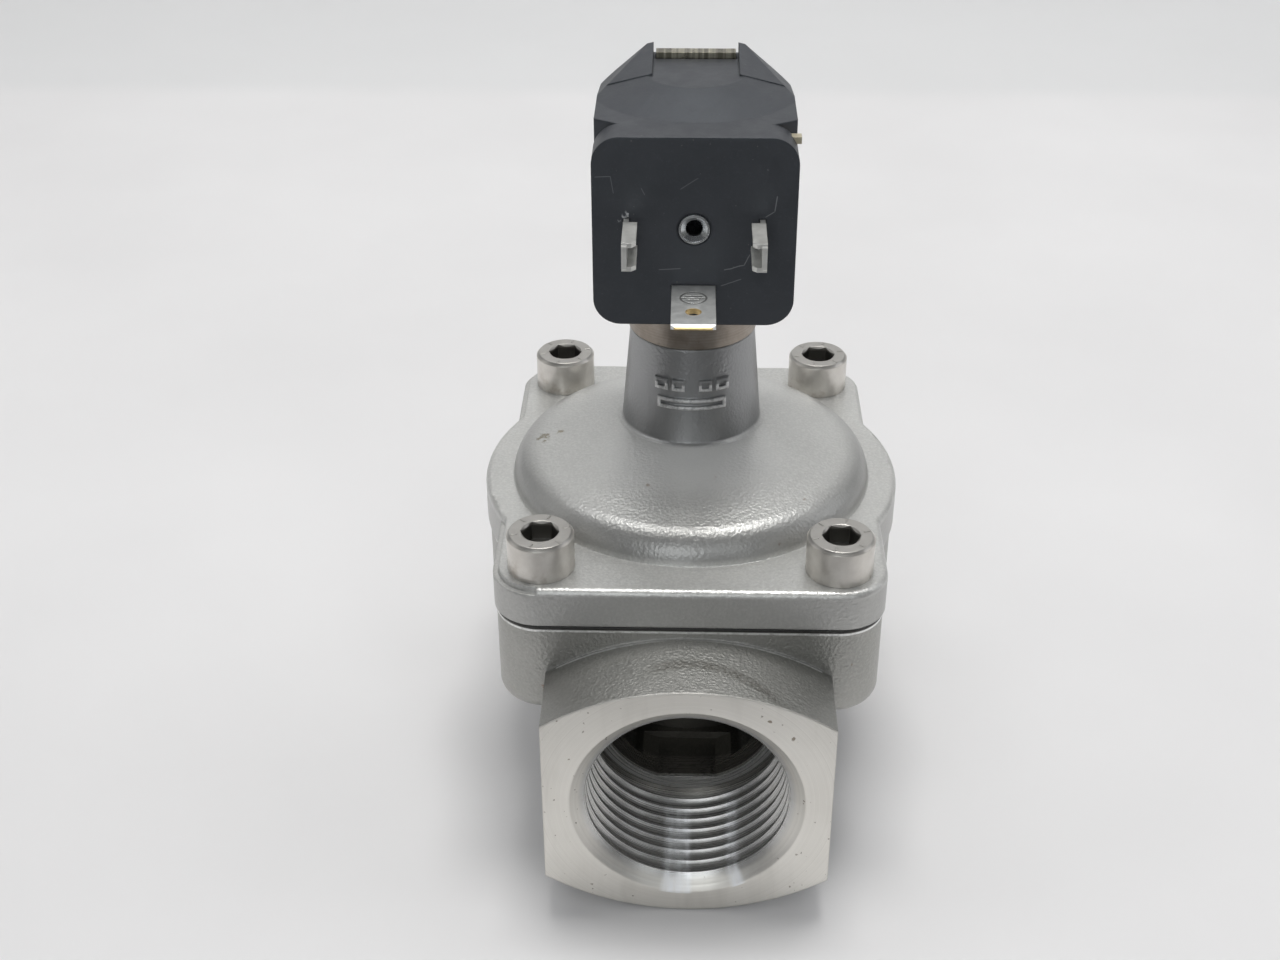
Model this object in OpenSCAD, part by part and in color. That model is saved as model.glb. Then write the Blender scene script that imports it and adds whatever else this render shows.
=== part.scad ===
// Servo-assisted 2/2-way solenoid valve with a cast steel body, G1 ports and a plug-in coil.
// Millimetres, +Z up. The flow axis runs along Y: the inlet is at -Y and the outlet at +Y.
// The origin is under the middle of the body, on the surface that the valve stands on.

/* [Body casting] */
// Overall length between the two port faces
port_length = 95; // [93:1:99]
// Half width across the wrench flats of a port
flat_half = 21.4; // [20.5:0.1:22.5]
// Height of the port axis above the foot
port_z = 21.4; // [21.3:0.1:22.5]
// Height of the joint between body and cover
joint_z = 44.7; // [44.6:0.1:46]
// Width of the bolted flange across the flow
flange_w = 58.5; // [57:0.5:60]
// Length of the bolted flange along the flow
flange_l = 70.2; // [69:0.2:72]
// Corner radius of the flange
flange_r = 7; // [6:0.5:8]
// Radius of the round disc that the flange is joined with
disc_r = 33; // [32.5:0.25:34]
// Depth of the body block under the joint
block_depth = 16.4; // [15:0.2:18]
// Height of the seam step at the joint
seam_h = 0.3; // [0.2:0.05:0.4]
// Radius of the round foot pad
foot_r = 13; // [11:0.5:15]

/* [Port thread G1] */
// Minor radius of the inlet thread, at the low end of its tolerance
thread_minor_r = 15.145; // [15.1:0.005:15.2]
// Minor radius of the outlet thread, within the same tolerance
outlet_minor_r = 15.31; // [15.3:0.005:15.4]
// Major radius of the thread
thread_major_r = 16.625; // [16.6:0.005:16.7]
// Pitch of the thread, 11 turns to the inch
thread_pitch = 2.309; // [2.3:0.001:2.32]
// Number of full thread turns
thread_turns = 7; // [6:1:7]
// Radius of the chamfer at the mouth
mouth_r = 17.75; // [17.2:0.05:18.2]

/* [Valve seat] */
// Inner radius of the main seat
seat_bore_r = 12.7; // [12:0.1:13]
// Outer radius of the seat tube
seat_tube_r = 15.5; // [15:0.1:16]
// Height of the main seat
seat_z = 36.7; // [36.5:0.1:37]
// Radius of the chamber round the seat tube
chamber_r = 23.5; // [23:0.1:24]

/* [Cover] */
// Thickness of the cover flange
cover_t = 6.3; // [6:0.1:7]
// Edge rounding of the cover flange
edge_r = 0.9; // [0.8:0.1:1]
// Radius of the rounded shoulder of the dome
shoulder_r = 5; // [4.5:0.1:5.5]
// Radius of the shallow crown of the dome
crown_r = 95; // [90:1:105]
// Offset of the neck from the middle, towards the outlet
neck_y = 5; // [4.5:0.1:5.5]
// Radius of the neck at its foot
neck_foot_r = 11.2; // [11:0.1:11.6]
// Radius of the neck at its top
neck_top_r = 9.75; // [9.7:0.05:9.9]
// Height of the top of the neck
neck_top_z = 74.6; // [74.4:0.1:75]

/* [Cover screws] */
// Spacing of the screws across the flow
screw_dx = 44; // [43.5:0.25:44.5]
// Spacing of the screws along the flow
screw_dy = 57; // [56.5:0.25:57.5]
// Radius of a screw head, M6 socket head
head_r = 5; // [4.9:0.05:5.1]
// Height of a screw head
head_h = 6; // [5.8:0.1:6.2]
// Length of the screw under its head
screw_l = 16; // [14:1:16]

/* [Armature] */
// Outer radius of the guide tube
tube_r = 5; // [4.95:0.01:5.02]
// Bore radius of the guide tube
tube_bore_r = 4.5; // [4.5:0.01:4.52]
// Radius of the plunger
plunger_r = 4.42; // [4.4:0.01:4.44]
// Stroke of the plunger
plunger_stroke = 1.8; // [1.4:0.1:1.8]
// Height of the machined collar on top of the neck
collar_top_z = 82.55; // [82.4:0.05:82.6]
// Radius of the machined collar
collar_r = 10; // [9.9:0.05:10.2]

/* [Coil] */
// Height of the underside of the coil
coil_z = 82.9; // [82.9:0.1:83]
// Width and height of the square connector face
face_w = 29; // [28.6:0.1:29.4]
// Distance of the connector face in front of the body middle
face_y = 12.5; // [12.3:0.1:12.7]
// Corner radius of the connector face
face_r = 4; // [3.5:0.1:4.5]
// Depth of the flat rim of the connector face
rim_d = 5.5; // [5:0.1:5.8]
// Rear end of the coil
coil_back_y = 18.2; // [18.1:0.1:18.6]
// Spacing of the two line contacts
contact_dx = 18; // [17.8:0.1:18.2]
// Length of a line contact in front of the face
contact_l = 9.6; // [9:0.2:10]
// Length of the earth contact in front of the face
earth_l = 13.3; // [12.6:0.1:13.6]
// Distance of the earth contact below the middle of the face
earth_dz = 8; // [7.8:0.1:8.4]
// Height of a line contact
contact_h = 4.2; // [4:0.1:4.6]

/* [Hidden] */
$fn = 96;
e = 0.01;
cover_top_z = joint_z + cover_t;
block_z = joint_z - block_depth;
crown_z = cover_top_z + 7.95;
shoulder_c = 23.5;
shoulder_z = crown_z - crown_r + sqrt((crown_r - shoulder_r) * (crown_r - shoulder_r) - shoulder_c * shoulder_c);
neck_tilt = asin(neck_y / crown_r);
face_mid_z = coil_z + face_w / 2 - 0.25;
coil_top_z = coil_z + face_w - 0.5;
contact_z = face_mid_z + 0.55;
root_h = contact_h - 0.8;
hole_r = 3.05;
clear_hole_r = 3.3;
rubber_t = 2.5;
gasket_r = 29.8;
thread_start = 2.2;
thread_end = thread_start + thread_turns * thread_pitch;

// ---------- helpers ----------

// Puts a copy at each of the four screw positions
module at_screws() {
    for (sx = [-1, 1])
        for (sy = [-1, 1])
            translate([sx * screw_dx / 2, sy * screw_dy / 2, 0])
                children();
}

// Flat outline of a rectangle with round corners
module round_rect(w, l, r) {
    square([w - 2 * r, l], center = true);
    square([w, l - 2 * r], center = true);
    for (sx = [-1, 1])
        for (sy = [-1, 1])
            translate([sx * (w / 2 - r), sy * (l / 2 - r)])
                circle(r);
}

// Plate with round corners whose top edge is rounded with radius q
module soft_plate(w, l, h, r, q) {
    linear_extrude(h - q)
        round_rect(w, l, r);
    linear_extrude(h)
        round_rect(w - 2 * q, l - 2 * q, r - q);
    for (sx = [-1, 1]) {
        translate([sx * (w / 2 - q), 0, h - q])
            rotate([90, 0, 0])
                cylinder(r = q, h = l - 2 * r, center = true);
        for (sy = [-1, 1])
            translate([sx * (w / 2 - r), sy * (l / 2 - r), h - q])
                rotate_extrude()
                    translate([r - q, 0])
                        intersection() {
                            circle(q);
                            translate([-r + q, -q])
                                square([r, 2 * q]);
                        }
    }
    for (sy = [-1, 1])
        translate([0, sy * (l / 2 - q), h - q])
            rotate([0, 90, 0])
                cylinder(r = q, h = w - 2 * r, center = true);
}

// Round disc whose top edge is rounded with radius q
module soft_disc(r, h, q) {
    rotate_extrude() {
        square([r, h - q]);
        square([r - q, h]);
        translate([r - q, h - q])
            circle(q);
    }
}

// Ring of wire, a torus
module torus(r, q) {
    rotate_extrude()
        translate([r, 0])
            circle(q);
}

// Points of the thread profile, depth into the port against radius
function thread_points(minor_r) = [
    for (i = [0 : thread_turns - 1])
        for (p = [[0.23, 0], [1.0, 1], [1.3, 1], [2.07, 0]])
            [minor_r + p[1] * (thread_major_r - minor_r),
                thread_start + i * thread_pitch + p[0]]
];

// Space cut from a port: chamfer, thread, relief groove, shoulder bore. Axis along +Z, mouth at z = 0
module port_space(minor_r) {
    rotate_extrude()
        polygon(concat(
            [[0, -1], [mouth_r + 1, -1], [minor_r, thread_start - 0.4], [minor_r, thread_start]],
            thread_points(minor_r),
            [[minor_r, thread_end + 0.3], [17, thread_end + 0.3], [17, thread_end + 3.6],
                [15.5, thread_end + 3.6], [15.5, thread_end + 2.9], [0, thread_end + 2.9]]
        ));
}

// Opening behind the shoulder: a circle with a short flat at the bottom, and another at the height top.
// Axis along +Z, +Y up
module port_opening(l, top) {
    intersection() {
        cylinder(r = 13.9, h = l);
        translate([-15, -13.1, 0])
            cube([30, 13.1 + top, l]);
    }
}

// Coiled spring along +Z: n turns as separate sloping rings would not be one solid, so the wire is swept
module coil_spring(r, wire, h, turns, steps) {
    n = turns * steps;
    k = 8;
    pts = [
        for (i = [0 : n])
            for (j = [0 : k - 1])
                let (a = 360 * i / steps, b = 360 * j / k + 22.5)
                    [(r + wire * cos(b)) * cos(a), (r + wire * cos(b)) * sin(a),
                        wire + (h - 2 * wire) * i / n + wire * sin(b)]
    ];
    sides = [
        for (i = [0 : n - 1])
            for (j = [0 : k - 1])
                [i * k + j, i * k + (j + 1) % k, (i + 1) * k + (j + 1) % k, (i + 1) * k + j]
    ];
    caps = [[for (j = [0 : k - 1]) k - 1 - j], [for (j = [0 : k - 1]) n * k + j]];
    polyhedron(points = pts, faces = concat(
        [for (f = sides) [f[3], f[2], f[1], f[0]]],
        [for (f = caps) [for (i = [len(f) - 1 : -1 : 0]) f[i]]]
    ), convexity = 6);
}

// ---------- body ----------

// Outline of a port seen along the flow: flats left and right, shallow arcs above and below
module port_outline() {
    intersection() {
        translate([0, -16.9])
            circle(38);
        translate([0, 16.9])
            circle(38);
        square([2 * flat_half, 60], center = true);
    }
}

module body_outside() {
    // both port bosses, one bar from face to face
    translate([0, port_length / 2, port_z])
        rotate([90, 0, 0])
            linear_extrude(port_length)
                port_outline();
    // the block under the joint, rounded along its lower edges
    translate([0, 0, joint_z])
        mirror([0, 0, 1]) {
            soft_plate(flange_w - 0.6, flange_l - 0.6, block_depth, flange_r, 2.5);
            soft_disc(disc_r - 0.4, block_depth - 1.2, 2.5);
        }
    // the bowl between the ports
    rotate_extrude() {
        translate([0, 14])
            square([27.5, block_z - 12]);
        translate([15.5, 14])
            circle(12);
        translate([0, 2])
            square([15.5, 14]);
    }
    cylinder(r = foot_r, h = 4);
}

module seat_tube() {
    translate([0, 0, 8])
        cylinder(r = seat_tube_r, h = seat_z - 8 - 1);
    translate([0, 0, seat_z - 1])
        cylinder(r1 = seat_tube_r, r2 = seat_tube_r - 1, h = 1);
}

module valve_body() {
    color("silver")
        difference() {
            union() {
                difference() {
                    body_outside();
                    // ring chamber round the seat tube
                    translate([0, 0, 30])
                        cylinder(r = chamber_r, h = 20);
                    // inlet half of the chamber, under the ring
                    intersection() {
                        translate([0, 0, 9.5])
                            cylinder(r = chamber_r, h = 21);
                        translate([-30, -30, 0])
                            cube([60, 28, 40]);
                    }
                }
                seat_tube();
            }
            // bore of the seat tube
            translate([0, 0, 9.5])
                cylinder(r = seat_bore_r, h = 40);
            for (s = [-1, 1])
                translate([0, s * port_length / 2, port_z])
                    rotate([s * 90, 0, 0])
                        port_space(s < 0 ? thread_minor_r : outlet_minor_r);
            // inlet opening into the chamber
            translate([0, -27, port_z])
                rotate([-90, 0, 0])
                    mirror([0, 1, 0])
                        port_opening(10.5, 15);
            // outlet opening out of the seat tube, under the ring chamber
            translate([0, 27, port_z])
                rotate([90, 0, 0])
                    port_opening(22, 6.6);
            // slightly smaller step at the joint, which shows as a dark seam
            translate([0, 0, joint_z - seam_h])
                difference() {
                    translate([-50, -50, 0])
                        cube([100, 100, 5]);
                    translate([0, 0, -1])
                        linear_extrude(8)
                            round_rect(flange_w - 1.3, flange_l - 1.3, flange_r - 0.35);
                    translate([0, 0, -1])
                        cylinder(r = disc_r - 0.75, h = 8);
                }
            // pilot drain into the outlet
            translate([0, 26.5, 29])
                cylinder(r = 1.25, h = 20);
            at_screws()
                translate([0, 0, joint_z - 12])
                    cylinder(r = hole_r, h = 13);
        }
}

// ---------- cover ----------

// Outline of the dome, cut in half
module dome_profile() {
    intersection() {
        translate([0, crown_z - crown_r])
            circle(crown_r);
        translate([0, cover_top_z - 3])
            square([shoulder_c * crown_r / (crown_r - shoulder_r), 20]);
    }
    translate([shoulder_c, shoulder_z])
        circle(shoulder_r);
    translate([0, cover_top_z - 3])
        square([shoulder_c + shoulder_r, shoulder_z - cover_top_z + 3]);
}

// Generic raised mark on the front of the neck: four small frames over a long one
module neck_mark() {
    for (x = [-4.7, -2.1, 2.1, 4.7])
        translate([x, 9.8])
            difference() {
                square([2, 1.8], center = true);
                square([1.1, 0.9], center = true);
            }
    translate([0, 6.7])
        difference() {
            square([10.6, 1.7], center = true);
            square([9.6, 0.7], center = true);
        }
}

module valve_cover() {
    color("gainsboro")
        difference() {
            union() {
                translate([0, 0, joint_z + 0.02]) {
                    soft_plate(flange_w, flange_l, cover_t - 0.02, flange_r, edge_r);
                    soft_disc(disc_r, cover_t - 0.02, edge_r);
                }
                rotate_extrude()
                    dome_profile();
                // neck
                translate([0, neck_y, 56])
                    cylinder(r1 = neck_foot_r + 0.1, r2 = neck_top_r, h = neck_top_z - 56);
                // fillet round the foot of the neck, leaning with the crown
                translate([0, neck_y, crown_z - 0.76])
                    rotate([-neck_tilt, 0, 0])
                        rotate_extrude()
                            difference() {
                                translate([0, -1.5])
                                    square([neck_foot_r + 0.52, 2.4]);
                                translate([neck_foot_r + 0.55, 0.9])
                                    circle(0.9);
                            }
                // raised mark
                intersection() {
                    translate([0, neck_y, 56])
                        cylinder(r1 = neck_foot_r + 0.52, r2 = neck_top_r + 0.42, h = neck_top_z - 56);
                    translate([0, neck_y, 59])
                        rotate([90, 0, 0])
                            linear_extrude(20)
                                neck_mark();
                }
            }
            // chamber above the diaphragm
            rotate_extrude()
                polygon([[0, 40], [chamber_r, 40], [chamber_r, 47.7], [19.5, 50.5], [17.5, 52.4], [0, 53.9]]);
            // recess for the rim of the diaphragm
            translate([0, 0, 40])
                cylinder(r = gasket_r, h = joint_z - 40 + rubber_t);
            at_screws()
                translate([0, 0, 40])
                    cylinder(r = clear_hole_r, h = 20);
            // armature chamber and gland thread in the neck
            translate([0, neck_y, 66.5])
                cylinder(r = 7.3, h = 10);
            // seat of the pilot nozzle
            translate([0, neck_y, 63.4])
                cylinder(r = 2.5, h = 4);
            // feed hole from the diaphragm chamber
            translate([-3.95, neck_y, 50])
                cylinder(r = 0.8, h = 18);
            // drain hole from the pilot nozzle to the outlet side
            translate([0, neck_y, 62])
                cylinder(r = 1.2, h = 2);
            translate([0, neck_y, 63])
                rotate([-atan2(26.5 - neck_y, -14.4), 0, 0])
                    cylinder(r = 1.2, h = norm([26.5 - neck_y, 14.4]) + 0.6);
            translate([0, 26.5, 40])
                cylinder(r = 1.2, h = 9);
        }
}

module cover_screws() {
    color("lightgray")
        at_screws()
            translate([0, 0, cover_top_z + 0.02])
                difference() {
                    union() {
                        // short raised ticks on the head
                        for (a = [15 : 60 : 315])
                            rotate([0, 0, a])
                                translate([3.45, -0.15, head_h - 0.3])
                                    cube([0.95, 0.3, 0.38]);
                        cylinder(r = head_r, h = head_h - 0.5);
                        translate([0, 0, head_h - 0.5])
                            cylinder(r1 = head_r, r2 = head_r - 0.45, h = 0.5);
                        translate([0, 0, -screw_l])
                            cylinder(r = 3, h = screw_l + 1);
                    }
                    translate([0, 0, head_h - 3])
                        cylinder(r = 5 / 2 / cos(30), h = 4, $fn = 6);
                    translate([0, 0, head_h - 0.35])
                        cylinder(r1 = 2.45, r2 = 3.3, h = 0.8);
                }
}

// ---------- main diaphragm and its disc ----------

module diaphragm() {
    color("#2a2a2a")
        difference() {
            rotate_extrude()
                polygon([
                    [3.2, 39.1], [15.2, 39.1], [17.2, 39.5], [19.4, 42.6], [21.4, 44.3], [23, 44.75],
                    [29.7, 44.75], [29.7, 47.1], [22.6, 47.1], [20.2, 46.4], [17.9, 44.5], [15.9, 41.5],
                    [15.2, 41.2], [3.2, 41.2]
                ]);
            // feed hole in the web, open to the inlet side
            translate([0, -18.6, 38])
                cylinder(r = 0.6, h = 10);
            // passage of the pilot drain
            translate([0, 26.5, 40])
                cylinder(r = 1.3, h = 10);
        }
}

module support_plate() {
    color("silver")
        rotate_extrude()
            polygon([
                [3.1, 41.3], [14.2, 41.3], [15, 42.1], [15, 44.2], [13.8, 44.2], [13.8, 43],
                [13.2, 42.8], [3.1, 42.8]
            ]);
}

module seat_disc() {
    color("#1c1c1c")
        translate([0, 0, seat_z + 0.02])
            difference() {
                cylinder(r = 15.2, h = 2.3);
                translate([0, 0, -1])
                    cylinder(r = 3.1, h = 5);
            }
}

module clamp_washer() {
    color("silver")
        difference() {
            union() {
                translate([0, 0, seat_z - 1.6])
                    cylinder(r = 11.8, h = 1.58);
                translate([0, 0, seat_z - 2.2])
                    cylinder(r1 = 11.2, r2 = 11.8, h = 0.6);
            }
            translate([0, 0, seat_z - 4])
                cylinder(r = 3.1, h = 6);
        }
}

module disc_bolt() {
    color("lightgray") {
        translate([0, 0, seat_z - 6.2])
            cylinder(r = 5 / cos(30), h = 3.98, $fn = 6);
        translate([0, 0, seat_z - 2.4])
            cylinder(r = 3, h = 12.3);
    }
}

module disc_nut() {
    color("lightgray")
        translate([0, 0, 42.85])
            difference() {
                cylinder(r = 5 / cos(30), h = 3.2, $fn = 6);
                translate([0, 0, -1])
                    cylinder(r = 3.05, h = 6);
            }
}

module closing_spring() {
    color("lightsteelblue")
        translate([0, 0, 42.9])
            coil_spring(9, 0.6, 10.2, 3, 24);
}

// ---------- pilot stage ----------

module pilot_nozzle() {
    color("goldenrod")
        translate([0, neck_y, 0])
            difference() {
                union() {
                    translate([0, 0, 63.5])
                        cylinder(r = 2.45, h = 3.1);
                    translate([0, 0, 66.5])
                        cylinder(r = 2.2, h = 1);
                    translate([0, 0, 67.4])
                        cylinder(r1 = 2.2, r2 = 1.4, h = 0.8);
                }
                translate([0, 0, 60])
                    cylinder(r = 0.9, h = 10);
            }
}

module tube_o_ring() {
    color("#202020")
        translate([0, neck_y, 67.46])
            torus(6.25, 0.92);
}

module guide_tube() {
    color("gainsboro")
        translate([0, neck_y, 0])
            difference() {
                union() {
                    translate([0, 0, 68.42])
                        cylinder(r = 7.15, h = 1.9);
                    translate([0, 0, 69])
                        cylinder(r = tube_r, h = 108.6 - 69);
                }
                translate([0, 0, 60])
                    cylinder(r = tube_bore_r, h = 60);
            }
}

module tube_gland() {
    color("#b9b2a8")
        translate([0, neck_y, 0])
            difference() {
                union() {
                    translate([0, 0, 70.36])
                        cylinder(r = 7.2, h = 5);
                    translate([0, 0, neck_top_z + 0.03])
                        cylinder(r1 = collar_r - 0.25, r2 = collar_r, h = 0.3);
                    translate([0, 0, neck_top_z + 0.32])
                        cylinder(r = collar_r, h = collar_top_z - neck_top_z - 0.72);
                    translate([0, 0, collar_top_z - 0.41])
                        cylinder(r1 = collar_r, r2 = collar_r - 0.4, h = 0.4);
                }
                translate([0, 0, 60])
                    cylinder(r = tube_r + 0.05, h = 40);
            }
}

module fixed_core() {
    color("darkgray")
        translate([0, neck_y, 0])
            difference() {
                union() {
                    translate([0, 0, 93.4 + plunger_stroke])
                        cylinder(r = 4.46, h = 108.5 - 93.4 - plunger_stroke);
                    translate([0, 0, 108])
                        cylinder(r = 3.2, h = 2.6);
                    translate([0, 0, 110.1])
                        cylinder(r = 4.1, h = 0.9);
                }
                // groove of the shading ring
                translate([0, 0, 92])
                    difference() {
                        cylinder(r = 3.7, h = 3.4 + plunger_stroke + 1);
                        cylinder(r = 2.9, h = 20);
                    }
            }
}

module shading_ring() {
    color("chocolate")
        translate([0, neck_y, 93.45 + plunger_stroke])
            difference() {
                cylinder(r = 3.66, h = 1);
                translate([0, 0, -1])
                    cylinder(r = 2.94, h = 3);
            }
}

module plunger() {
    color("gray")
        translate([0, neck_y, 0])
            difference() {
                union() {
                    translate([0, 0, 69.3])
                        cylinder(r1 = plunger_r - 0.5, r2 = plunger_r, h = 0.5);
                    translate([0, 0, 69.8])
                        cylinder(r = plunger_r, h = 93.2 - 69.8);
                }
                translate([0, 0, 69])
                    cylinder(r = 2.7, h = 2.5);
                // pocket of the spring
                translate([0, 0, 84])
                    cylinder(r = 2.4, h = 10);
                // two flats along the side let the fluid past
                for (s = [-1, 1])
                    translate([s * 7.9, 0, 80])
                        cube([8, 3, 30], center = true);
            }
}

module plunger_seal() {
    color("#242424")
        translate([0, neck_y, 68.24])
            cylinder(r = 2.65, h = 3.2);
}

module plunger_spring() {
    color("lightsteelblue")
        translate([0, neck_y, 84.05])
            coil_spring(1.85, 0.25, 93.4 + plunger_stroke - 84.1, 7, 16);
}

// ---------- coil ----------

module coil_seal() {
    color("#1a1a1a")
        translate([0, neck_y, collar_top_z + 0.85])
            torus(6.6, 0.8);
}

// Front-on outline of the coil behind the connector face
module block_front() {
    translate([-14.4, coil_z + 4])
        square([28.8, coil_top_z - coil_z - 4]);
    translate([-10.4, coil_z])
        square([20.8, 5]);
    for (s = [-1, 1])
        translate([s * 10.4, coil_z + 4])
            circle(4);
}

// Everything above a sloping plane through a point, on the right and on the left
module above(p, a, b) {
    for (m = [0, 1])
        mirror([m, 0, 0])
            translate(p)
                rotate([a, b, 0])
                    translate([-25, -40, 0])
                        cube([60, 80, 20]);
}

// Rear corners of the coil, seen from above
module coil_plan() {
    translate([0, (coil_back_y - face_y) / 2])
        round_rect(face_w, coil_back_y + face_y, 3.2);
    translate([-face_w / 2, -face_y])
        square([face_w, 10]);
}

module coil_outside() {
    intersection() {
        difference() {
            union() {
                // connector face
                translate([0, -face_y, face_mid_z])
                    rotate([-90, 0, 0])
                        linear_extrude(rim_d + 0.3)
                            round_rect(face_w, face_w - 0.5, face_r);
                // block behind it
                translate([0, -face_y + rim_d, 0])
                    rotate([90, 0, 0])
                        mirror([0, 0, 1])
                            linear_extrude(coil_back_y + face_y - rim_d)
                                block_front();
                // shallow cone on top
                intersection() {
                    translate([0, 9.3, coil_top_z - 0.3])
                        cylinder(r1 = 17.1, r2 = 7.6, h = 2.5);
                    translate([-14.38, -9, 100])
                        cube([28.76, 17, 40]);
                }
                // raised rear shoulders
                difference() {
                    translate([-14.4, 7, coil_top_z - 7])
                        cube([28.8, coil_back_y - 7, 13]);
                    above([7.7, 7, coil_top_z + 2.2], 6.06, 14.04);
                }
            }
            above([7.4, coil_back_y, coil_top_z + 3.5], -8.13, 40.53);
            // recesses behind the upper corners of the face
            for (m = [0, 1])
                mirror([m, 0, 0])
                    translate([0, 0, coil_top_z - 6])
                        linear_extrude(10)
                            polygon([
                                [11.2, -face_y + rim_d], [15.5, -face_y + rim_d],
                                [15.5, -face_y + rim_d + 2.6], [14, -face_y + rim_d + 1.7]
                            ]);
        }
        translate([0, 0, 70])
            linear_extrude(60)
                coil_plan();
    }
}

module coil_housing() {
    color("#26262a")
        difference() {
            coil_outside();
            // slot between the shoulders for the end of the yoke
            translate([-6.4, 6, coil_top_z + 2.2])
                cube([12.8, 20, 10]);
            // bore for the guide tube
            translate([0, neck_y, 80])
                cylinder(r = 5.3, h = 31.3);
            // seat of the coil seal
            translate([0, neck_y, 80])
                cylinder(r = 7.6, h = 4.3);
            // room of the winding and the plates
            translate([0, neck_y, 84.6])
                cylinder(r = 10.1, h = 21.6);
            translate([-10.6, -4.6, 84.5])
                cube([21.2, 21, 2.1]);
            translate([-10.6, -4.6, 105.35])
                cube([21.2, 19.7, 2.1]);
            // room of the yoke leg, open at the top
            translate([-6.1, 14.95, 84.5])
                cube([12.2, 2.35, 40]);
            // room of the retaining clip, open at the right side
            translate([-5.6, -0.6, 108.75])
                cube([11.2, 11.2, 1.35]);
            translate([4, -8, 108.75])
                cube([1.6, 9, 1.35]);
            translate([4, -8, 108.75])
                cube([15, 1.7, 1.35]);
            // pockets of the contacts
            for (s = [-1, 1])
                translate([s * (contact_dx / 2 + 0.625), -face_y + 2, contact_z])
                    cube([0.85, 5.4, root_h + 0.1], center = true);
            translate([0, -face_y + 1.5, face_mid_z - earth_dz - 0.4])
                cube([6.4, 5.6, 0.9], center = true);
            // recess round the threaded insert
            translate([0, -face_y - 1, face_mid_z + 0.7])
                rotate([-90, 0, 0])
                    cylinder(r = 2.45, h = 1.35);
            translate([0, -face_y - 1, face_mid_z + 0.7])
                rotate([-90, 0, 0])
                    cylinder(r = 1.95, h = 7.2);
        }
}

module coil_bobbin() {
    color("ivory")
        translate([0, neck_y, 0])
            difference() {
                union() {
                    translate([0, 0, 86.7])
                        cylinder(r = 10, h = 1.2);
                    translate([0, 0, 86.7])
                        cylinder(r = 6.3, h = 18.5);
                    translate([0, 0, 104])
                        cylinder(r = 10, h = 1.2);
                }
                translate([0, 0, 80])
                    cylinder(r = 5.25, h = 40);
            }
}

module coil_winding() {
    color("peru")
        translate([0, neck_y, 88])
            difference() {
                cylinder(r = 9.6, h = 15.9);
                translate([0, 0, -1])
                    cylinder(r = 6.35, h = 20);
            }
}

module magnet_yoke() {
    color("silver")
        difference() {
            union() {
                translate([-10.5, -4.5, 84.55])
                    cube([21, 19.7, 2]);
                translate([-6, 15.19, 84.55])
                    cube([12, 2, coil_top_z + 3.1 - 84.55]);
            }
            translate([0, neck_y, 80])
                cylinder(r = 5.25, h = 40);
        }
}

module pole_plate() {
    color("silver")
        difference() {
            translate([-10.5, -4.5, 105.4])
                cube([21, 19.5, 2]);
            translate([0, neck_y, 80])
                cylinder(r = 5.25, h = 40);
        }
}

module retaining_clip() {
    color("#c9b88a")
        difference() {
            translate([0, 0, 108.9])
                union() {
                    translate([-5.5, -0.5, 0])
                        cube([11, 11, 1]);
                    translate([4.1, -7.9, 0])
                        cube([1.4, 8, 1]);
                    translate([4.1, -7.9, 0])
                        cube([10.8, 1.5, 1]);
                }
            translate([0, neck_y, 100])
                cylinder(r = 3.4, h = 20);
            translate([-3.4, neck_y, 100])
                cube([6.8, 10, 20]);
        }
}

// Line contact: a channel with its web on the outer side and two lips that point inwards
module terminal(side) {
    color("gainsboro")
        translate([side * contact_dx / 2, -face_y, contact_z]) {
            // web, narrower where it enters the face
            difference() {
                translate([side > 0 ? 0.25 : -1, -contact_l, -contact_h / 2])
                    cube([0.75, contact_l + 4.5, contact_h]);
                for (s = [-1, 1]) {
                    translate([0, 1.55, s * (root_h / 2 + 0.75)])
                        cube([4, 7.3, 1.5], center = true);
                    translate([0, -contact_l, s * (contact_h / 2 + 0.12)])
                        rotate([s * 45, 0, 0])
                            cube([4, 0.8, 0.8], center = true);
                }
            }
            // lips along the upper and lower edge
            for (s = [-1, 1])
                difference() {
                    translate([0, -contact_l / 2 - 0.95, s * (contact_h / 2 - 0.35)])
                        cube([2, contact_l - 2.3, 0.7], center = true);
                    translate([-side * 1, -contact_l + 0.2, s * (contact_h / 2 - 0.35)])
                        rotate([0, 0, 45])
                            cube([0.9, 0.9, 2], center = true);
                }
        }
}

module terminal_left() {
    terminal(-1);
}

module terminal_right() {
    terminal(1);
}

// Earth contact: a flat blade with a bevelled tip and a small hole, pointing to -Y
module earth_terminal() {
    color("gainsboro")
        translate([0, -face_y, face_mid_z - earth_dz])
            difference() {
                translate([-3.15, 0, 0])
                    rotate([90, 0, 90])
                        linear_extrude(6.3)
                            polygon([
                                [4.2, 0], [4.2, -0.8], [-earth_l + 0.9, -0.8], [-earth_l, -0.5],
                                [-earth_l, -0.3], [-earth_l + 0.9, 0]
                            ]);
                for (s = [-1, 1])
                    translate([s * 3.15, -earth_l, 0])
                        rotate([0, 0, 45])
                            cube([1, 1, 4], center = true);
                translate([0, -8.6, -2])
                    cylinder(r = 1.05, h = 4);
            }
}

module connector_insert() {
    color("lightgray")
        translate([0, -face_y, face_mid_z + 0.7])
            rotate([-90, 0, 0])
                difference() {
                    union() {
                        translate([0, 0, -0.15])
                            cylinder(r = 2.2, h = 0.45);
                        cylinder(r = 1.9, h = 6);
                    }
                    translate([0, 0, -1])
                        cylinder(r = 1.23, h = 10);
                    translate([0, 0, -0.16])
                        cylinder(r1 = 1.9, r2 = 1.23, h = 0.6);
                }
}

// ---------- assembly ----------

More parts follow.
